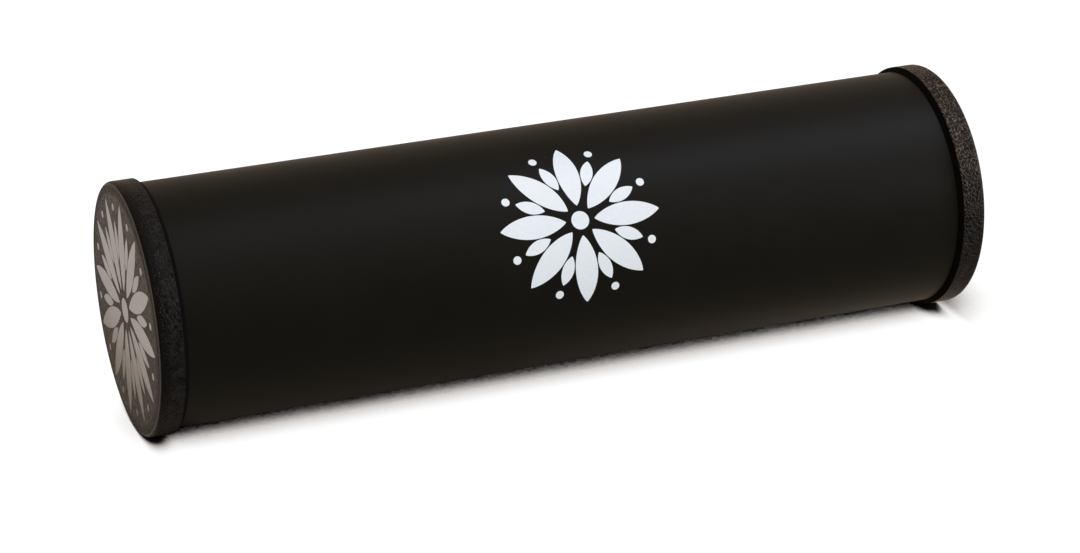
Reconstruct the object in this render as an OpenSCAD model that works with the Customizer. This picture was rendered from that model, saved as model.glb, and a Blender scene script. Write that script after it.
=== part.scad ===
// Tube shaker lying on its side: a plastic tube, two moulded end caps and a bed of loose steel shot.
// The tube's axis runs along X. Z is up, and Z = 0 is the surface that the caps' skirts rest on.

/* [Tube] */
// Outside diameter of the tube
tube_d = 57.15; // [45:0.05:70]
// Length of the tube, from one cap's seat to the other's
tube_length = 200; // [140:1:300]
// Thickness of the tube's wall
tube_wall = 2.4; // [1.8:0.1:4]
// Chamfer on the edges of both tube ends
tube_chamfer = 0.4; // [0.1:0.1:0.7]

/* [End caps] */
// Thickness of the cap's end wall
cap_face = 3; // [2:0.1:5]
// Radius of the round edge between the end face and the skirt
cap_edge_round = 1.2; // [0.5:0.1:3]
// Thickness of the skirt that goes round the outside of the tube
skirt_wall = 1; // [0.6:0.05:2.5]
// Depth of the skirt's grained band, from the end face to the bevel
skirt_band = 6; // [4.5:0.1:15]
// Length of the smooth bevel at the skirt's rim
rim_bevel = 1; // [0.5:0.1:4]
// Thickness left at the very edge of the rim
rim_lip = 0.1; // [0.05:0.01:0.5]

/* [Spigots] */
// Depth of the inner ring beyond the tube's end
spigot_depth = 6; // [3:0.1:15]
// Thickness of the inner ring
spigot_wall = 1.8; // [1.2:0.1:4]
// Gap between the inner ring and the bore
spigot_gap = 0.6; // [0.3:0.05:1]
// Lead-in chamfer at the inner ring's tip
spigot_lead = 0.7; // [0.2:0.1:1]
// Fillet where the inner ring grows out of the end wall
spigot_fillet = 1.2; // [0.4:0.1:3]
// Number of centring ribs round the inner ring
rib_count = 12; // [3:1:24]
// Diameter of the round bar that each centring rib is part of
rib_d = 1.6; // [1.4:0.1:2]
// Gap between a centring rib and the bore
rib_gap = 0.1; // [0.05:0.01:0.2]

/* [Bond] */
// Gap for the cement between skirt and tube
bond_gap = 0.14; // [0.1:0.01:0.4]
// Clearance between the cement and each wall that it sticks to
bond_clearance = 0.02; // [0.01:0.005:0.04]
// Distance that the cement stays back from the tube's end and from the rim
bond_inset = 0.6; // [0.4:0.1:1.5]

/* [Shot] */
// Diameter of one steel ball
ball_d = 4.5; // [3:0.1:5]
// Gap between neighbouring balls, and between the balls and the bore
ball_gap = 0.25; // [0.2:0.01:0.4]
// Balls in each row of the lowest layer
low_balls = 17; // [5:1:24]
// Balls in each row of the middle layer
mid_balls = 14; // [4:1:22]
// Balls in each row of the top layer
top_balls = 9; // [3:1:20]

/* [Hidden] */
// Facets of the large round forms, and of the balls and centring ribs
$fn = 96;
small_fn = 24;

// Overlap that fuses parts of one moulding, and overrun of every cut
fuse = 0.5;

tube_r = tube_d / 2;
bore_r = tube_r - tube_wall;
skirt_bore_r = tube_r + bond_gap;
skirt_r = skirt_bore_r + skirt_wall;
rim_r = skirt_bore_r + rim_lip;
skirt_depth = skirt_band + rim_bevel;
overall_length = tube_length + 2 * cap_face;

// Height of the tube's axis above the surface that the skirts rest on
axis_z = skirt_r;

spigot_r = bore_r - spigot_gap;
spigot_bore_r = spigot_r - spigot_wall;
spigot_end = cap_face + spigot_depth;
rib_place_r = bore_r - rib_gap - rib_d / 2;

bond_r = skirt_bore_r - bond_clearance;
bond_bore_r = tube_r + bond_clearance;
bond_start = cap_face + bond_inset;
bond_end = skirt_depth - bond_inset;

// The shot lies in rows along the tube, three layers of them stacked as balls stack.
// The outer rows of the lowest layer lie on the bore, and every higher row lies in a hollow
// between two rows of the layer below.
LAYERS = ["low", "mid", "top"];
row_counts = [3, 6, 7];
ball_counts = [low_balls, mid_balls, top_balls];
ball_pitch = ball_d + ball_gap;
row_reach = bore_r - ball_gap - ball_d / 2;
lowest_row_y = ball_pitch * (row_counts[0] - 1) / 2;
lowest_layer_z = -sqrt(pow(row_reach, 2) - pow(lowest_row_y, 2));
layer_rise = ball_pitch * sin(60);

function row_name(layer, row) = str("shot_", LAYERS[layer], "_", row + 1);
function row_y(layer, row) = ball_pitch * (row - (row_counts[layer] - 1) / 2);
function row_z(layer) = axis_z + lowest_layer_z + layer * layer_rise;

row_names = [
    for (layer = [0 : len(LAYERS) - 1])
        for (row = [0 : row_counts[layer] - 1])
            row_name(layer, row)
];

// Puts what is drawn along Z on the tube's axis, starting at x and running towards +X
module on_axis(x) {
    translate([x, 0, axis_z]) rotate([0, 90, 0]) children();
}

// Half of the tube's wall, cut along its axis, with a chamfer at all four corners
module tube_section() {
    polygon([
        [bore_r + tube_chamfer, 0],
        [tube_r - tube_chamfer, 0],
        [tube_r, tube_chamfer],
        [tube_r, tube_length - tube_chamfer],
        [tube_r - tube_chamfer, tube_length],
        [bore_r + tube_chamfer, tube_length],
        [bore_r, tube_length - tube_chamfer],
        [bore_r, tube_chamfer]
    ]);
}

// The cap's outside: flat face, round edge, grained band and smooth bevelled rim
module cap_outline() {
    square([skirt_r - cap_edge_round, skirt_band]);
    translate([0, cap_edge_round]) square([skirt_r, skirt_band - cap_edge_round]);
    translate([skirt_r - cap_edge_round, cap_edge_round]) circle(cap_edge_round);
    polygon([
        [0, skirt_band - fuse],
        [skirt_r, skirt_band - fuse],
        [skirt_r, skirt_band],
        [rim_r, skirt_depth],
        [0, skirt_depth]
    ]);
}

// The inner ring, with its lead-in and with the fillet at its root
module spigot_section() {
    polygon([
        [spigot_bore_r, cap_face - fuse],
        [spigot_r, cap_face - fuse],
        [spigot_r, spigot_end - spigot_lead],
        [spigot_r - spigot_lead, spigot_end],
        [spigot_bore_r, spigot_end]
    ]);
    difference() {
        translate([spigot_bore_r - spigot_fillet, cap_face - fuse])
            square([spigot_fillet + fuse, spigot_fillet + fuse]);
        translate([spigot_bore_r - spigot_fillet, cap_face + spigot_fillet]) circle(spigot_fillet);
    }
}

// One centring rib: a round bar let into the outside of the inner ring
module centring_rib() {
    translate([rib_place_r, 0, cap_face - fuse])
        cylinder(d = rib_d, h = spigot_depth - spigot_lead + fuse, $fn = small_fn);
}

// A cap with its outer face at Z = 0, opening towards +Z
module cap() {
    rotate_extrude() {
        difference() {
            cap_outline();
            translate([0, cap_face]) square([skirt_bore_r, skirt_depth]);
        }
        spigot_section();
    }
    for (rib = [0 : rib_count - 1]) rotate(rib * 360 / rib_count) centring_rib();
}

// The ring of cement for a cap whose outer face is at Z = 0
module bond() {
    rotate_extrude()
        translate([bond_bore_r, bond_start]) square([bond_r - bond_bore_r, bond_end - bond_start]);
}

module tube() {
    color([0.1, 0.1, 0.1]) on_axis(-tube_length / 2) rotate_extrude() tube_section();
}

module left_cap() {
    color([0.2, 0.19, 0.18]) on_axis(-overall_length / 2) cap();
}

module right_cap() {
    color([0.2, 0.19, 0.18]) mirror([1, 0, 0]) on_axis(-overall_length / 2) cap();
}

module left_bond() {
    color([0.75, 0.68, 0.5]) on_axis(-overall_length / 2) bond();
}

module right_bond() {
    color([0.75, 0.68, 0.5]) mirror([1, 0, 0]) on_axis(-overall_length / 2) bond();
}

// One row of loose balls, centred along the tube
module shot_row(layer, row) {
    count = ball_counts[layer];
    color([0.68, 0.69, 0.7])
        for (ball = [0 : count - 1])
            translate([ball_pitch * (ball - (count - 1) / 2), row_y(layer, row), row_z(layer)])
                sphere(d = ball_d, $fn = small_fn);
}

tube();
left_cap();
right_cap();
left_bond();
right_bond();
for (layer = [0 : len(LAYERS) - 1])
    for (row = [0 : row_counts[layer] - 1])
        shot_row(layer, row);
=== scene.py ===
# %% [markdown]
# A ganza in satin black
#
# A ganza is a tube shaker. This one is a plastic tube with a moulded cap cemented over each end and
# a bed of loose steel shot inside. The CAD model already holds every solid at its real size, so
# nothing here moves or resizes one. This script gives each of them its finish, prints an ornament
# on the tube and on the near cap, and sets up a camera and plain studio light.

# %% Load the CAD frame
import math

import bmesh
import bpy
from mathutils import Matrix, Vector


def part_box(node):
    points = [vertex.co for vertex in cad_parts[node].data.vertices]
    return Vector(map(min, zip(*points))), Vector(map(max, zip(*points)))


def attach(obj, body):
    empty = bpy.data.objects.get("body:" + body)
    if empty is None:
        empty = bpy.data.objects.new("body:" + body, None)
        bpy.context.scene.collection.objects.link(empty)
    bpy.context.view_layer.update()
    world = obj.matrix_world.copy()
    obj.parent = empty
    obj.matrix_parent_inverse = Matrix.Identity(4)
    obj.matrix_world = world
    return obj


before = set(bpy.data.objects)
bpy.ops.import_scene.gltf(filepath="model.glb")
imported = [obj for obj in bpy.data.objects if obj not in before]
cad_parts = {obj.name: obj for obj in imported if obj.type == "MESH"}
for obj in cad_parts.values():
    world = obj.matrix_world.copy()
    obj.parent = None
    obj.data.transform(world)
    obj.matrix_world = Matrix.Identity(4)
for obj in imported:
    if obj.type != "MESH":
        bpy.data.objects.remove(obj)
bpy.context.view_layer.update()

# %% [markdown]
# Read the sizes from the frame
#
# A print has to lie on the tube, and the grain has to stop at the smooth bevel of a cap's rim. Both
# could be typed in as places, but then a change of the CAD would leave them behind. The boxes of the
# CAD nodes give the tube's radius, the height of its axis and the planes of the end faces instead.
# Only the width of the grained band is a value of its own, because a box doesn't show it.

# %% Sizes of the tube and the caps
MM = 0.001
BAND = 6 * MM

tube_low, tube_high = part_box("tube")
left_low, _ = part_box("left_cap")

TUBE_RADIUS = (tube_high.z - tube_low.z) / 2
AXIS_HEIGHT = (tube_high.z + tube_low.z) / 2
END_FACE = -left_low.x
BAND_END = END_FACE - BAND
print("tube radius", round(TUBE_RADIUS / MM, 3), "mm; end face at", round(END_FACE / MM, 2), "mm")

# %% [markdown]
# The camera comes first
#
# The photographer used a long lens from about 80 centimetres, a little above the shaker and to its
# left. A camera could be given as a raw position and three angles. Written as a direction, a
# distance and a point to look at, it can be understood and adjusted one thing at a time, so that
# way was chosen. The lens and the distance belong together: they set how much smaller the far cap
# looks than the near one.

# %% Camera
LENS_MM = 110.8
SENSOR_MM = 36
AZIMUTH = math.radians(-21.155)
ELEVATION = math.radians(24.828)
DISTANCE = 0.7984
AIM = Vector((-0.0011, 0, 0.0212))


def direction(azimuth, elevation):
    """A unit vector from the shaker towards a viewer or a lamp; azimuth 0 is straight in front."""
    return Vector((
        math.sin(azimuth) * math.cos(elevation),
        -math.cos(azimuth) * math.cos(elevation),
        math.sin(elevation),
    ))


def point_at_shaker(thing):
    """Turns a camera or a lamp, which both look along their own -Z, towards the shaker."""
    thing.rotation_euler = (AIM - thing.location).to_track_quat("-Z", "Y").to_euler()


camera = bpy.data.objects.new("camera", bpy.data.cameras.new("camera"))
camera.data.lens = LENS_MM
camera.data.sensor_width = SENSOR_MM
camera.location = AIM + DISTANCE * direction(AZIMUTH, ELEVATION)
point_at_shaker(camera)
bpy.context.scene.collection.objects.link(camera)
bpy.context.scene.camera = camera
print("camera at", [round(value, 3) for value in camera.location])

# %% [markdown]
# Helpers for node trees
#
# Every finish below is a small network of nodes. Making one takes three steps that repeat: add a
# node, set its options, and join or fill its sockets. Written out each time they would bury the
# idea of the finish, so one helper does all three. Sums, ramps and colour mixes are so common that
# they get a helper each, which gives back the socket with the result.


# %% Helpers for nodes
def fill(tree, socket, value):
    """Gives a socket a value, or joins it to another socket where it is given one."""
    if isinstance(value, bpy.types.NodeSocket):
        tree.links.new(value, socket)
    else:
        socket.default_value = value


def add(tree, kind, inputs=None, **options):
    """Adds a node, sets its options and fills its inputs, which are named or counted."""
    node = tree.nodes.new("ShaderNode" + kind)
    for name, value in options.items():
        setattr(node, name, value)
    for name, value in (inputs or {}).items():
        fill(tree, node.inputs[name], value)
    return node


def math_node(tree, operation, *values):
    """One sum on masks or lengths."""
    return add(tree, "Math", dict(enumerate(values)), operation=operation).outputs[0]


def ramp(tree, value, start, end, low=0.0, high=1.0, smooth=False):
    """Runs from low to high as value goes from start to end, and stays level outside."""
    sockets = {"Value": value, "From Min": start, "From Max": end, "To Min": low, "To Max": high}
    course = "SMOOTHSTEP" if smooth else "LINEAR"
    return add(tree, "MapRange", sockets, interpolation_type=course).outputs[0]


def blend(tree, share, low, high):
    """Goes from low to high as share goes from 0 to 1."""
    return ramp(tree, share, 0.0, 1.0, low, high)


def mix(tree, share, first, second):
    """A colour that turns from the first into the second as share goes from 0 to 1."""
    return add(tree, "Mix", {0: share, 6: first, 7: second}, data_type="RGBA").outputs[2]


print("helpers for nodes ready")

# %% [markdown]
# Groups and materials
#
# An effect that several materials share, such as grain, is best built once as a node group with
# named inputs and outputs. One helper opens such a group, and another places it in a material with
# that material's own values. Each finish then starts from a fresh material with its Principled
# BSDF. What is the same all over the surface, such as the strength of the highlight, is set
# straight on the shader's own sockets. What changes over the surface comes from the groups.


# %% Helpers for groups and materials
def new_group(name, inputs, outputs):
    """Opens a group and returns its tree, its input sockets and its output node."""
    tree = bpy.data.node_groups.new(name, "ShaderNodeTree")
    for label, kind, value in inputs:
        socket = tree.interface.new_socket(name=label, in_out="INPUT", socket_type="NodeSocket" + kind)
        socket.default_value = value
    for label, kind in outputs:
        tree.interface.new_socket(name=label, in_out="OUTPUT", socket_type="NodeSocket" + kind)
    return tree, tree.nodes.new("NodeGroupInput").outputs, tree.nodes.new("NodeGroupOutput")


def use_group(tree, group, **values):
    """Places a group in a material. A value's name is the socket's, with _ for a space."""
    node = add(tree, "Group", node_tree=group)
    for name, value in values.items():
        fill(tree, node.inputs[name.replace("_", " ")], value)
    return node.outputs


def new_material(name, **constants):
    """Returns a material, its tree and its Principled BSDF, with the constant sockets set."""
    material = bpy.data.materials.new(name)
    material.use_nodes = True
    tree = material.node_tree
    shader = tree.nodes["Principled BSDF"]
    for label, value in constants.items():
        shader.inputs[label.replace("_", " ")].default_value = value
    return material, tree, shader


def paint(tree, shader, colour, roughness):
    """Joins a colour and a roughness to the shader."""
    tree.links.new(colour, shader.inputs["Base Color"])
    tree.links.new(roughness, shader.inputs["Roughness"])


def bump(tree, shader, height, depth):
    """Raises the surface by depth where height is 1."""
    node = add(tree, "Bump", {"Height": height, "Distance": depth, "Strength": 1.0})
    tree.links.new(node.outputs[0], shader.inputs["Normal"])


def object_place(tree):
    """The place of a point in metres. Every CAD node has its origin at that of the scene."""
    return add(tree, "TexCoord").outputs["Object"]


def per_size(tree, size):
    """The scale at which a pattern's features are as large as size."""
    return math_node(tree, "DIVIDE", 1.0, size)


print("helpers for groups and materials ready")

# %% [markdown]
# Shared effect: mottle
#
# No moulded or painted surface is one flat tone. Resin cools unevenly and hands leave a faint film,
# so the colour and the shine drift over a few millimetres. A picture could be wrapped round the
# part, but it would blur close up and show a seam. Noise that is sampled in the object's own space
# has neither fault, and one group serves every material with its own scale and strength. Noise
# seldom leaves the middle of its range, so that part is spread over the whole drift.

# %% Group: mottle
NOISE_LOW = 0.3
NOISE_HIGH = 0.7

mottle, given, out = new_group(
    "mottle",
    [
        ("Color", "Color", (0.5, 0.5, 0.5, 1)),
        ("Drift", "Color", (0.6, 0.6, 0.6, 1)),
        ("Shine", "Float", 0.5),
        ("Spread", "Float", 0.05),
        ("Size", "Float", 8 * MM),
    ],
    [("Color", "Color"), ("Roughness", "Float")],
)
place = object_place(mottle)
scale = per_size(mottle, given["Size"])
clouds = add(mottle, "TexNoise", {"Vector": place, "Scale": scale, "Detail": 4.0, "Roughness": 0.6})
share = ramp(mottle, clouds.outputs[0], NOISE_LOW, NOISE_HIGH)
swing = math_node(mottle, "SUBTRACT", share, 0.5)
shine = math_node(mottle, "MULTIPLY_ADD", swing, given["Spread"], given["Shine"])
mottle.links.new(mix(mottle, share, given["Color"], given["Drift"]), out.inputs["Color"])
mottle.links.new(shine, out.inputs["Roughness"])
print("group:", mottle.name)

# %% [markdown]
# Shared effect: specks
#
# Close up, the tube carries a few specks: dust that was caught under the finish, each a low bump of
# a few tenths of a millimetre. They could be scattered as real geometry, but they are far too small
# for that. A Voronoi pattern splits space into cells, a random value picks the cells that hold a
# speck, and the distance to the cell's point draws it. The mask drives both bump and colour. The
# same group, pressed in instead of raised, makes the scuffs on the steel balls.

# %% Group: specks
specks, given, out = new_group(
    "specks",
    [("Spacing", "Float", 6 * MM), ("Radius", "Float", 0.25 * MM), ("Amount", "Float", 0.3)],
    [("Mask", "Float")],
)
scale = per_size(specks, given["Spacing"])
cells = add(specks, "TexVoronoi", {"Vector": object_place(specks), "Scale": scale}).outputs
reach = math_node(specks, "MULTIPLY", cells["Distance"], given["Spacing"])
dot = ramp(specks, reach, 0.0, given["Radius"], 1.0, 0.0, smooth=True)
lottery = add(specks, "SeparateColor", {"Color": cells["Color"]}).outputs[0]
chosen = math_node(specks, "LESS_THAN", lottery, given["Amount"])
specks.links.new(math_node(specks, "MULTIPLY", dot, chosen), out.inputs["Mask"])
print("group:", specks.name)

# %% [markdown]
# Shared effect: pebbled grain
#
# The steel mould of the caps is etched with a leather grain, so that the plastic hides sink marks
# and gives grip. Each pebble is a little under 1 mm wide, with a groove round it. Plain noise looks
# like cast stone here. Voronoi cells have the right islands and grooves, and bending their
# coordinates a little with noise takes away the straight borders. A second pattern at the same
# places gives each pebble a random number of its own, the lot, so that some stand higher or are
# paler than others. The caps' plastic and the ink printed over it both use this group, the ink with
# less depth because it fills the grooves.

# %% Group: pebbled grain
grain, given, out = new_group(
    "pebbled grain",
    [("Size", "Float", 0.6 * MM), ("Bend", "Float", 0.3 * MM), ("Groove Width", "Float", 0.3)],
    [("Height", "Float"), ("Groove", "Float"), ("Lot", "Float")],
)
place = object_place(grain)
scale = per_size(grain, given["Size"])
wander = add(grain, "TexNoise", {"Vector": place, "Scale": scale, "Detail": 2.0}).outputs["Color"]
centred = add(grain, "VectorMath", {0: wander, 1: (0.5, 0.5, 0.5)}, operation="SUBTRACT").outputs[0]
offset = add(grain, "VectorMath", {0: centred, "Scale": given["Bend"]}, operation="SCALE").outputs[0]
bent = add(grain, "VectorMath", {0: place, 1: offset}, operation="ADD").outputs[0]
borders = add(grain, "TexVoronoi", {"Vector": bent, "Scale": scale}, feature="DISTANCE_TO_EDGE")
height = ramp(grain, borders.outputs["Distance"], 0.0, given["Groove Width"], smooth=True)
pebbles = add(grain, "TexVoronoi", {"Vector": bent, "Scale": scale}).outputs["Color"]
lot = add(grain, "SeparateColor", {"Color": pebbles}).outputs[0]
grain.links.new(height, out.inputs["Height"])
grain.links.new(math_node(grain, "SUBTRACT", 1.0, height), out.inputs["Groove"])
grain.links.new(lot, out.inputs["Lot"])
print("group:", grain.name)

# %% [markdown]
# Finish of the tube
#
# The tube is extruded black plastic with a satin skin. Extrusion leaves hair-fine lines along the
# tube, too faint to see as lines, but they soften its highlight. They are made by stretching noise
# along X. Specks of dust sit on top, a little paler than the plastic.

# %% Material: satin tube plastic
TUBE_BLACK = (0.0038, 0.0037, 0.0024, 1)
TUBE_BLACK_DRIFT = (0.0046, 0.0045, 0.0030, 1)
SPECK = (0.035, 0.032, 0.028, 1)
LINE_WIDTH = 0.5 * MM
LINE_DEPTH = 0.004 * MM
LINE_STRETCH = (0.02, 1, 1)
SPECK_RISE = 8.0

tube_plastic, tree, shader = new_material("satin_tube_plastic", Specular_IOR_Level=0.045)
tone = use_group(
    tree, mottle, Color=TUBE_BLACK, Drift=TUBE_BLACK_DRIFT, Shine=0.48, Spread=0.05, Size=14 * MM
)
dust = use_group(tree, specks, Spacing=9 * MM, Radius=0.3 * MM, Amount=0.9)["Mask"]
paint(tree, shader, mix(tree, dust, tone["Color"], SPECK), tone["Roughness"])

place = object_place(tree)
stretched = add(tree, "VectorMath", {0: place, 1: LINE_STRETCH}, operation="MULTIPLY").outputs[0]
lines = add(tree, "TexNoise", {"Vector": stretched, "Scale": 1 / LINE_WIDTH, "Detail": 2.0}).outputs[0]
bump(tree, shader, math_node(tree, "MULTIPLY_ADD", dust, SPECK_RISE, lines), LINE_DEPTH)
print("material:", tube_plastic.name)

# %% [markdown]
# Where a cap changes
#
# A cap is one moulding, but it isn't one finish. Its face and skirt are pebbled, and the bevel of
# the rim is smooth and dull, because it closes against the tube; its colour is painted a little
# darker than the cap's own, as shade between cap and tube. Three materials could be assigned by
# face. One material with masks does the same and has no seams. Distance along X tells bevel, skirt,
# edge and face apart, and separates the left cap from the right one. Height tells where the face's
# painted light and the painted glint in the dust fade, and the distance from the axis finds the
# rim of the face.

# %% Masks on the caps
PEBBLE = 0.85 * MM

# Places along X
GRAIN_START = (BAND_END, BAND_END + 0.2 * MM)
FACE_START = (END_FACE - 0.4 * MM, END_FACE - 0.04 * MM)
EDGE_START = (END_FACE - 3.2 * MM, END_FACE - 1.6 * MM)
LEFT_TO_RIGHT = (-0.5 * END_FACE, 0.5 * END_FACE)

# Heights, and distances from the axis
LOW_TO_HIGH = (27 * MM, 55 * MM)
FACE_RIM = (TUBE_RADIUS - 2 * MM, TUBE_RADIUS - MM)

# Strengths: of the painted shade beside each cap's face, of the face's painted light at its rim, and the
# peak of the painted highlight along the face's edge
LEFT_EDGE_SHADE = 0.8
RIGHT_EDGE_SHADE = 0.1
FACE_PAINTED_LIGHT_AT_RIM = 0.1
EDGE_HIGHLIGHT_PEAK = 3.2

cap_plastic, tree, shader = new_material("pebbled_cap_plastic", Specular_IOR_Level=0.025)
place = object_place(tree)
sides = add(tree, "SeparateXYZ", {0: place}).outputs
along = math_node(tree, "ABSOLUTE", sides["X"])
right = ramp(tree, sides["X"], *LEFT_TO_RIGHT)
high = ramp(tree, sides["Z"], *LOW_TO_HIGH, smooth=True)
grained = ramp(tree, along, *GRAIN_START)

# On the round edge the face's mask is neither 0 nor 1, which gives the painted highlight along the edge
# its place
on_face = ramp(tree, along, *FACE_START)
off_face = math_node(tree, "SUBTRACT", 1.0, on_face)
edge_highlight = math_node(tree, "MULTIPLY", math_node(tree, "MULTIPLY", on_face, off_face), EDGE_HIGHLIGHT_PEAK)

# Painted shade on the skirt beside the face: dark on the left cap, faint on the right
edge_shade = blend(tree, right, LEFT_EDGE_SHADE, RIGHT_EDGE_SHADE)
edge = ramp(tree, along, *EDGE_START, 0.0, edge_shade, smooth=True)

rise = math_node(tree, "SUBTRACT", sides["Z"], AXIS_HEIGHT)
depth = math_node(tree, "MULTIPLY", sides["Y"], sides["Y"])
radius = math_node(tree, "SQRT", math_node(tree, "MULTIPLY_ADD", rise, rise, depth))
# The face's rim keeps little of its painted light
inside_rim = ramp(tree, radius, *FACE_RIM, 1.0, FACE_PAINTED_LIGHT_AT_RIM, smooth=True)
print("masks for:", cap_plastic.name)

# %% [markdown]
# Finish of the caps
#
# The plastic of the skirts is nearly black, and some pebbles are a little paler. Brown dust lies in
# patches of the grooves. It is painted paler on the right cap, and most of all high up, as the glint
# of the lamps on the right, and it fades towards the bottom. The left cap is painted darker beside
# its face, as shade. The face carries painted light, which makes it paler but not its rim, and less
# so its lower part, and a painted highlight runs as a thin pale line along the edge between the two.
# The colours are laid over each other in about that order. A picture of the cap would hold all of
# this at once, but each mask can be adjusted on its own and stays sharp at any distance.

# %% Material: pebbled cap plastic
CAP_BLACK = (0.0026, 0.0023, 0.0021, 1)
CAP_BLACK_DRIFT = (0.0040, 0.0036, 0.0033, 1)
PALE_PEBBLE = (0.0165, 0.0152, 0.0148, 1)
# Dust in the grooves; the right cap's is painted much paler, as the glint of the lamps on the right
LEFT_DUST = (0.022, 0.019, 0.016, 1)
RIGHT_DUST_AND_GLINT = (0.165, 0.118, 0.077, 1)
# The skirt's colour in the painted shade beside the face
EDGE_SHADE_BLACK = (0.0030, 0.0024, 0.0020, 1)
# The face's pebble and groove colours are its grain with painted light on it; after them comes the
# face's colour without that light
FACE_DARK_PEBBLE = (0.004, 0.0034, 0.003, 1)
FACE_PALE_PEBBLE = (0.120, 0.102, 0.088, 1)
FACE_GROOVE = (0.060, 0.052, 0.045, 1)
FACE_WITHOUT_PAINTED_LIGHT = (0.0060, 0.0050, 0.0042, 1)
# A painted highlight: a thin pale line along the edge of the face
PAINTED_EDGE_HIGHLIGHT = (0.110, 0.095, 0.082, 1)
# The bevel's colour: a little darker than the cap's black, as painted shade between cap and tube
BEVEL_SHADE_BLACK = (0.0014, 0.0012, 0.0010, 1)
BEVEL_ROUGHNESS = 0.95
PATCH_SIZE = 0.6 * MM
PATCH_EDGE = (0.38, 0.62)
# Share of the dust and its painted glint that is kept at the bottom
DUST_AND_GLINT_AT_BOTTOM = 0.1
# Share of the face's painted light that is kept at the bottom
FACE_PAINTED_LIGHT_AT_BOTTOM = 0.5
LOT_RISE = 0.5
FACE_RELIEF = 1.6
GRAIN_DEPTH = 0.1 * MM

pebble = use_group(tree, grain, Size=PEBBLE, Bend=0.6 * PEBBLE, Groove_Width=0.17)
tone = use_group(
    tree, mottle, Color=CAP_BLACK, Drift=CAP_BLACK_DRIFT, Shine=0.42, Spread=0.06, Size=5 * MM
)
skirt = mix(tree, pebble["Lot"], tone["Color"], PALE_PEBBLE)

patches = add(tree, "TexNoise", {"Vector": place, "Scale": 1 / PATCH_SIZE, "Detail": 1.0}).outputs[0]
dusty = math_node(tree, "MULTIPLY", pebble["Groove"], ramp(tree, patches, *PATCH_EDGE))
# Dust colour, painted paler on the right cap and high up as the glint of the lamps on the right
dust = mix(tree, right, LEFT_DUST, RIGHT_DUST_AND_GLINT)
dust = mix(tree, blend(tree, high, DUST_AND_GLINT_AT_BOTTOM, 1.0), tone["Color"], dust)
skirt = mix(tree, dusty, skirt, dust)
# Painted shade beside the face
skirt = mix(tree, edge, skirt, EDGE_SHADE_BLACK)

face = mix(tree, pebble["Lot"], FACE_DARK_PEBBLE, FACE_PALE_PEBBLE)
face = mix(tree, pebble["Groove"], face, FACE_GROOVE)
# Painted light on the face, less at its rim and towards its bottom
face_painted_light = math_node(tree, "MULTIPLY", inside_rim, blend(tree, high, FACE_PAINTED_LIGHT_AT_BOTTOM, 1.0))
face = mix(tree, face_painted_light, FACE_WITHOUT_PAINTED_LIGHT, face)

colour = mix(tree, on_face, skirt, face)
# Painted highlight along the face's edge
colour = mix(tree, edge_highlight, colour, PAINTED_EDGE_HIGHLIGHT)
# Painted shade on the bevel
colour = mix(tree, grained, BEVEL_SHADE_BLACK, colour)
paint(tree, shader, colour, blend(tree, grained, BEVEL_ROUGHNESS, tone["Roughness"]))

relief = math_node(tree, "MULTIPLY_ADD", pebble["Lot"], LOT_RISE, pebble["Height"])
relief = math_node(tree, "MULTIPLY", relief, blend(tree, on_face, 1.0, FACE_RELIEF))
bump(tree, shader, math_node(tree, "MULTIPLY", relief, grained), GRAIN_DEPTH)
print("material:", cap_plastic.name)

# %% [markdown]
# Finishes of the pieces inside
#
# Nothing of the cement and the shot shows while the shaker is whole, but a section can bring them
# to light. The cement is a cloudy amber film. The balls are hardened steel, polished by rubbing on
# each other, so the shine drifts and there are small scuffs.

# %% Materials: cement and steel
AMBER = (0.42, 0.30, 0.13, 1)
CLOUDY_AMBER = (0.55, 0.42, 0.22, 1)
STEEL = (0.42, 0.43, 0.44, 1)
BRIGHT_STEEL = (0.52, 0.52, 0.52, 1)
SCUFF_DEPTH = -0.004 * MM

cement, tree, shader = new_material("amber_cement", Specular_IOR_Level=0.4)
tone = use_group(
    tree, mottle, Color=AMBER, Drift=CLOUDY_AMBER, Shine=0.4, Spread=0.2, Size=1.5 * MM
)
paint(tree, shader, tone["Color"], tone["Roughness"])

steel, tree, shader = new_material("scuffed_shot_steel", Metallic=1.0)
tone = use_group(
    tree, mottle, Color=STEEL, Drift=BRIGHT_STEEL, Shine=0.24, Spread=0.16, Size=1.2 * MM
)
paint(tree, shader, tone["Color"], tone["Roughness"])
scuffs = use_group(tree, specks, Spacing=0.9 * MM, Radius=0.25 * MM, Amount=0.35)
bump(tree, shader, scuffs["Mask"], SCUFF_DEPTH)
print("materials:", cement.name, steel.name)

# %% [markdown]
# Finishes of the prints
#
# The tube's ornament is screen printed in cool white, a film a few hundredths of a millimetre
# thick. The cap's is a warm grey pad print, glossier than the plastic. It lies over the pebbles and
# partly fills them, so it shows less grain than the bare plastic round it. It is painted darker
# towards the bottom, as shade. Both inks are plain colours with a little mottle, and only the grey
# one needs a mask for its height, which carries that painted shade.

# %% Materials: white ink and grey ink
WHITE_INK = (0.78, 0.83, 0.89, 1)
WHITE_INK_DRIFT = (0.82, 0.87, 0.93, 1)
GREY_INK = (0.30, 0.285, 0.285, 1)
GREY_INK_DRIFT = (0.33, 0.313, 0.313, 1)
# Painted shade: the ink's colour at the bottom, and the heights over which it turns into the ink's own
SHADED_INK = (0.004, 0.004, 0.004, 1)
SHADED_TO_LIT = (4 * MM, 34 * MM)
INK_GRAIN_DEPTH = 0.008 * MM

white_ink, tree, shader = new_material("white_screen_ink", Specular_IOR_Level=0.3)
tone = use_group(
    tree, mottle, Color=WHITE_INK, Drift=WHITE_INK_DRIFT, Shine=0.5, Spread=0.08, Size=0.8 * MM
)
paint(tree, shader, tone["Color"], tone["Roughness"])

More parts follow.
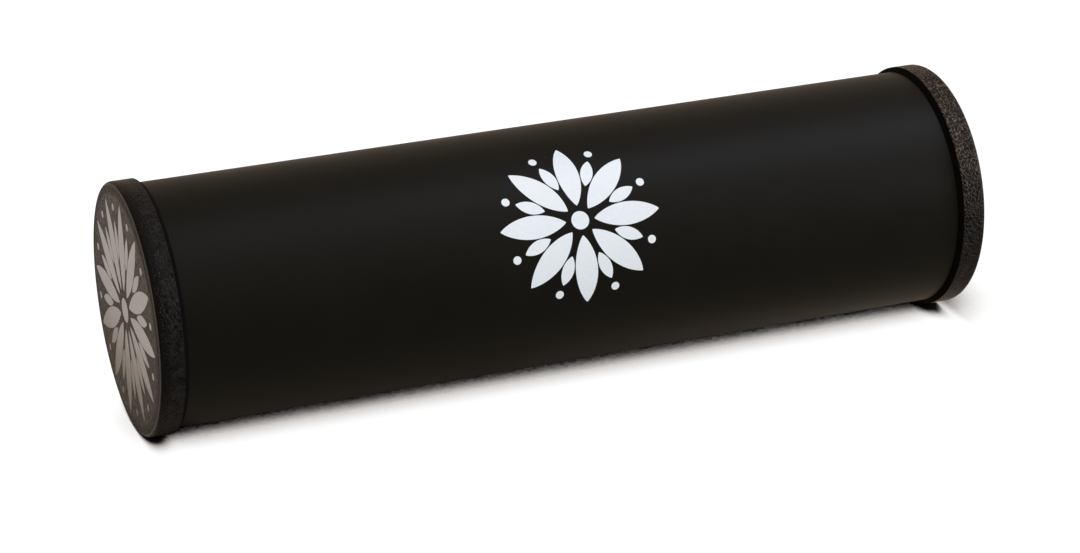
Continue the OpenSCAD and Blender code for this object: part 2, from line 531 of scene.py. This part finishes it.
grey_ink, tree, shader = new_material("grey_pad_ink", Specular_IOR_Level=0.55)
tone = use_group(
    tree, mottle, Color=GREY_INK, Drift=GREY_INK_DRIFT, Shine=0.45, Spread=0.08, Size=2 * MM
)
height = add(tree, "SeparateXYZ", {0: object_place(tree)}).outputs["Z"]
# Painted shade: the ink darkens towards the bottom
ink_lit = ramp(tree, height, *SHADED_TO_LIT, smooth=True)
paint(tree, shader, mix(tree, ink_lit, SHADED_INK, tone["Color"]), tone["Roughness"])
pebble = use_group(tree, grain, Size=PEBBLE, Bend=0.5 * PEBBLE)
bump(tree, shader, pebble["Height"], INK_GRAIN_DEPTH)
print("materials:", white_ink.name, grey_ink.name)

# %% [markdown]
# Dress the CAD nodes
#
# Every carried-over solid keeps its mesh and only gets a finish. The few shell pieces are looked up
# by name. All that is left is shot, so a row of balls that is added in the CAD comes out in steel
# without a change here.

# %% Assign the finishes
FINISHES = {
    "tube": tube_plastic,
    "left_cap": cap_plastic,
    "right_cap": cap_plastic,
    "left_bond": cement,
    "right_bond": cement,
}

for name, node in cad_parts.items():
    finish = FINISHES.get(name, steel)
    node.data.materials.clear()
    node.data.materials.append(finish)
print("dressed", len(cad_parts), "nodes")

# %% [markdown]
# How a print lies on a surface
#
# A print is a very thin film. Its shapes are drawn flat, as grids of points about the ornament's
# centre, and each point is then laid on the surface: wrapped round the tube, or set on the cap's
# flat face. Projecting a flat drawing with a modifier would also work, but the wrap is one line of
# trigonometry and keeps the shapes their true size. The film gets an outer face, an inner face that
# sits just under the surface, and walls between them, so it is a closed solid. The points that
# meet at a petal's tips are then merged into one.

# %% Wrapping and filming
FILM_TOP = 0.03 * MM
FILM_ROOT = -0.02 * MM
MERGE_DISTANCE = 0.001 * MM
PRINT_ANGLE = math.radians(33.9)
PRINT_SHIFT = -0.3 * MM


def on_tube(across, up, height):
    """A point of the tube's ornament: across runs along the tube, up runs round it."""
    angle = PRINT_ANGLE + up / TUBE_RADIUS
    reach = TUBE_RADIUS + height
    rise = AXIS_HEIGHT + reach * math.sin(angle)
    return Vector((PRINT_SHIFT + across, -reach * math.cos(angle), rise))


def on_left_face(across, up, height):
    """A point of the ornament on the left cap's end face."""
    return Vector((-END_FACE - height, -across, AXIS_HEIGHT + up))


def outline(rows, columns):
    """The places round the edge of a grid, in order."""
    bottom_up = [(i, 0) for i in range(rows)]
    across = [(rows - 1, j) for j in range(1, columns)]
    top_down = [(i, columns - 1) for i in range(rows - 2, -1, -1)]
    back = [(0, j) for j in range(columns - 2, 0, -1)]
    return bottom_up + across + top_down + back


def film(name, patches, lay, ink):
    """Makes one printed film from grids of flat points and lets it ride on the shell."""
    shape = bmesh.new()
    for patch in patches:
        rows, columns = len(patch), len(patch[0])
        layers = [
            [[shape.verts.new(lay(u, v, height)) for u, v in row] for row in patch]
            for height in (FILM_ROOT, FILM_TOP)
        ]
        for i in range(rows - 1):
            for j in range(columns - 1):
                for layer in layers:
                    shape.faces.new((layer[i][j], layer[i + 1][j], layer[i + 1][j + 1], layer[i][j + 1]))
        border = outline(rows, columns)
        for (a, b), (c, d) in zip(border, border[1:] + border[:1]):
            shape.faces.new((layers[0][a][b], layers[0][c][d], layers[1][c][d], layers[1][a][b]))
    bmesh.ops.remove_doubles(shape, verts=shape.verts, dist=MERGE_DISTANCE)
    bmesh.ops.recalc_face_normals(shape, faces=shape.faces)
    mesh = bpy.data.meshes.new(name)
    shape.to_mesh(mesh)
    shape.free()
    piece = bpy.data.objects.new(name, mesh)
    bpy.context.scene.collection.objects.link(piece)
    mesh.materials.append(ink)
    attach(piece, "shell")
    print(name, "has", len(patches), "shapes and", len(mesh.polygons), "faces")


# %% [markdown]
# Drawing the rosette
#
# The ornament is a plain rosette, an old pattern on turned and carved instruments. It has long
# petals, short ones between them, and a ring of dots. A petal is a strip along a spoke whose width
# swells and closes again, which a sine gives, and a dot is the same strip with a round profile.


# %% Petals and dots
def petal(angle, start, end, half_width, sharpness=1.7, steps=24, strips=6):
    """A grid of flat points along a spoke. Sharpness 1 makes an ellipse, and more makes a leaf."""
    spoke = Vector((math.cos(angle), math.sin(angle)))
    side = Vector((-spoke.y, spoke.x))
    grid = []
    for i in range(steps + 1):
        phase = math.pi * i / steps
        along = (1 - math.cos(phase)) / 2
        width = half_width * math.sin(phase) ** sharpness
        middle = spoke * (start + (end - start) * along)
        grid.append([tuple(middle + side * width * (2 * j / strips - 1)) for j in range(strips + 1)])
    return grid


def dot_patch(angle, distance, radius):
    """A round dot: a petal as wide as it is long, with plain elliptic ends."""
    return petal(angle, distance - radius, distance + radius, radius, sharpness=1.0, steps=16)


print("petal rows:", len(petal(0, 1, 2, 0.2)))

# %% [markdown]
# One rosette for two places
#
# The tube's rosette has eight spokes and the cap's has twelve. Lengths are shares of the ornament's
# radius. Widths are shares of the radius over the number of spokes, so that with more spokes the
# petals get slimmer and never touch. One function then draws both.

# %% Compose the rosette
# Shares of the radius
MIDDLE_DOT = 0.11
LONG_START = 0.18
SHORT_START = 0.44
SHORT_END = 0.8
OUTER_DOT_PLACE = 0.92

# Shares of the radius over the number of spokes
LONG_WIDTH = 1.12
SHORT_WIDTH = 0.6
OUTER_DOT = 0.4


def rosette(radius, spokes):
    """Long petals, short petals between them, dots near the rim and a dot in the middle."""
    turn = 2 * math.pi / spokes
    share = radius / spokes
    patches = [dot_patch(0, 0, MIDDLE_DOT * radius)]
    for k in range(spokes):
        patches.append(petal(k * turn, LONG_START * radius, radius, LONG_WIDTH * share))
        between = (k + 0.5) * turn
        patches.append(petal(between, SHORT_START * radius, SHORT_END * radius, SHORT_WIDTH * share))
        patches.append(dot_patch(between, OUTER_DOT_PLACE * radius, OUTER_DOT * share))
    return patches


film("tube_print", rosette(radius=19.7 * MM, spokes=8), on_tube, white_ink)
film("cap_print", rosette(radius=26.2 * MM, spokes=12), on_left_face, grey_ink)

# %% [markdown]
# The floor's mesh
#
# The shaker lies on a white sweep of paper. It could be modelled with its curve, but the room round
# it is as white as the floor, so that no horizon shows, and one large square does the same. It is a
# prop and not a piece of the shaker.

# %% Floor mesh
FLOOR_HALF = 6.0

low, high = -FLOOR_HALF, FLOOR_HALF
corners = [(low, low, 0), (high, low, 0), (high, high, 0), (low, high, 0)]
floor_mesh = bpy.data.meshes.new("floor")
floor_mesh.from_pydata(corners, [], [(0, 1, 2, 3)])
floor = bpy.data.objects.new("floor", floor_mesh)
bpy.context.scene.collection.objects.link(floor)
print("floor is", 2 * FLOOR_HALF, "m wide")

# %% [markdown]
# Finish of the floor
#
# A floor that only reflects would show the background as pale grey, and more lamps would bleach the
# object. So the floor's white is its own colour, and it glows only for rays that see it: the
# camera's, and those of a reflection. The glow fades where the shaker leans over the floor. An
# Ambient Occlusion node measures how open each place is, and the glow runs from black to full
# between two values of it, which gives the soft brown shadow. Past the ends the floor is more open,
# even where the shaker touches it. Both values are higher there, or the shadow would stop at the
# end faces.
#
# Reflections get a course of their own. The tube mirrors the floor right under it, and more light
# gets there at the right than at the left, so the mirrored floor goes from dim to white sooner at
# the right. In a reflection the white is creamy, because the walls of the room are.


# %% Material: floor white
def rays_that_see(tree):
    """Masks of the rays that see the room: all of them, the camera's own, and reflected ones."""
    path = add(tree, "LightPath").outputs
    direct, mirrored = path["Is Camera Ray"], path["Is Glossy Ray"]
    seen = math_node(tree, "MAXIMUM", direct, mirrored)
    return math_node(tree, "MAXIMUM", seen, path["Is Transmission Ray"]), direct, mirrored


WHITE = (1.0, 1.0, 1.0, 1)
CREAM = (1.0, 0.80, 0.62, 1)
SHADOW_BROWN = (1.0, 0.87, 0.78, 1)
SHADE_REACH = 0.12
SHADE_SAMPLES = 32
SHADE_POWER = 0.41
GLOW = 0.95

# The floor's own tone: for rays that only carry light, and where it is seen, shaded and open
UNSEEN_FLOOR = 0.9
SHADED_FLOOR = 0.02
OPEN_FLOOR = 0.2

# Places along X between which the floor starts to count as past an end
RIGHT_END = (END_FACE - 8 * MM, END_FACE + 3 * MM)
LEFT_END = (-END_FACE + 8 * MM, -END_FACE - MM)

# Openness up to which the floor is black: along the tube, and what is added past each end
BLACK_ALONG = 0.094
BLACK_PAST_RIGHT = 0.481
BLACK_PAST_LEFT = 0.27

# Openness from which the floor glows in full, in the same way
FULL_ALONG = 0.27
FULL_PAST_RIGHT = 0.46
FULL_PAST_LEFT = 0.32

# The same two values in reflections: two places along X, and the value at each
DIM_TO = (-END_FACE - 2 * MM, -END_FACE + 15 * MM, 0.4, 0.07)
WHITE_FROM = (-20 * MM, 90 * MM, 0.6, 0.2)

floor_white, tree, shader = new_material("floor_white", Roughness=0.9, Specular_IOR_Level=0.0)
seen, direct, mirrored = rays_that_see(tree)
shade = add(tree, "AmbientOcclusion", {"Distance": SHADE_REACH}, samples=SHADE_SAMPLES)
openness = shade.outputs["AO"]
across = add(tree, "SeparateXYZ", {0: object_place(tree)}).outputs["X"]
past_right = ramp(tree, across, *RIGHT_END, smooth=True)
past_left = ramp(tree, across, *LEFT_END, smooth=True)

black_to = math_node(tree, "MULTIPLY_ADD", past_right, BLACK_PAST_RIGHT, BLACK_ALONG)
black_to = math_node(tree, "MULTIPLY_ADD", past_left, BLACK_PAST_LEFT, black_to)
full_from = math_node(tree, "MULTIPLY_ADD", past_right, FULL_PAST_RIGHT, FULL_ALONG)
full_from = math_node(tree, "MULTIPLY_ADD", past_left, FULL_PAST_LEFT, full_from)
straight = math_node(tree, "POWER", ramp(tree, openness, black_to, full_from), SHADE_POWER)
reflected = ramp(tree, openness, ramp(tree, across, *DIM_TO), ramp(tree, across, *WHITE_FROM))

contact = blend(tree, direct, reflected, straight)
own = blend(tree, seen, UNSEEN_FLOOR, blend(tree, contact, SHADED_FLOOR, OPEN_FLOOR))
tree.links.new(own, shader.inputs["Base Color"])
glow = math_node(tree, "MULTIPLY", math_node(tree, "MULTIPLY", contact, GLOW), seen)
tint = mix(tree, ramp(tree, contact, 0.0, GLOW), SHADOW_BROWN, WHITE)
tree.links.new(mix(tree, mirrored, tint, CREAM), shader.inputs["Emission Color"])
tree.links.new(glow, shader.inputs["Emission Strength"])
floor_mesh.materials.append(floor_white)
print("material:", floor_white.name)

# %% [markdown]
# World
#
# The world is the room round the sweep. It is white where the camera sees it and creamy where a
# reflection does. As a source of light it is a plain soft grey, which fills the shadows evenly.

# %% World
SKY_LIGHT = 0.45

world = bpy.data.worlds.new("soft_room")
bpy.context.scene.world = world
world.use_nodes = True
tree = world.node_tree
seen, _, mirrored = rays_that_see(tree)
background = tree.nodes["Background"]
tree.links.new(blend(tree, seen, SKY_LIGHT, 1.0), background.inputs["Strength"])
tree.links.new(mix(tree, mirrored, WHITE, CREAM), background.inputs["Color"])
print("world ready")

# %% [markdown]
# Lamps
#
# One wide lamp hangs overhead, a little in front, and gives the plain light that every colour is
# judged by. Two narrow ones stand on the right. They are only there to be mirrored: the high one
# draws the broad sheen along the tube, and the low one lifts the front below it. Black plastic
# shows almost nothing but its reflections, so such strips are what gives the tube its roundness. If
# they lit the object as well, the prints would bleach on the right, so they are hidden from
# diffuse rays.


# %% Soft lamps
def soft_lamp(name, azimuth, elevation, distance, size, power, colour, mirrored_only=False):
    """An area lamp that faces the shaker: angles in degrees, size in metres, power in watts."""
    lamp = bpy.data.objects.new(name, bpy.data.lights.new(name, "AREA"))
    lamp.data.shape = "RECTANGLE"
    lamp.data.size, lamp.data.size_y = size
    lamp.data.energy = power
    lamp.data.color = colour
    lamp.location = AIM + distance * direction(math.radians(azimuth), math.radians(elevation))
    point_at_shaker(lamp)
    lamp.visible_diffuse = not mirrored_only
    bpy.context.scene.collection.objects.link(lamp)
    print(name, "at", [round(value, 2) for value in lamp.location])


soft_lamp(
    "front_ceiling", azimuth=-10, elevation=62, distance=1.3, size=(1.6, 1.6),
    power=11.6, colour=(1.0, 0.99, 0.97),
)
soft_lamp(
    "high_strip", azimuth=82, elevation=49, distance=0.85, size=(0.3, 0.9),
    power=8.3, colour=(0.76, 0.783, 1.0), mirrored_only=True,
)
soft_lamp(
    "low_strip", azimuth=75, elevation=10, distance=0.6, size=(0.3, 0.15),
    power=6.8, colour=(0.96, 0.96, 1.0), mirrored_only=True,
)

# %% [markdown]
# Finish
#
# The view transform stays Standard, so that a colour renders as it is written.

# %% Finish
bpy.context.scene.view_settings.view_transform = "Standard"
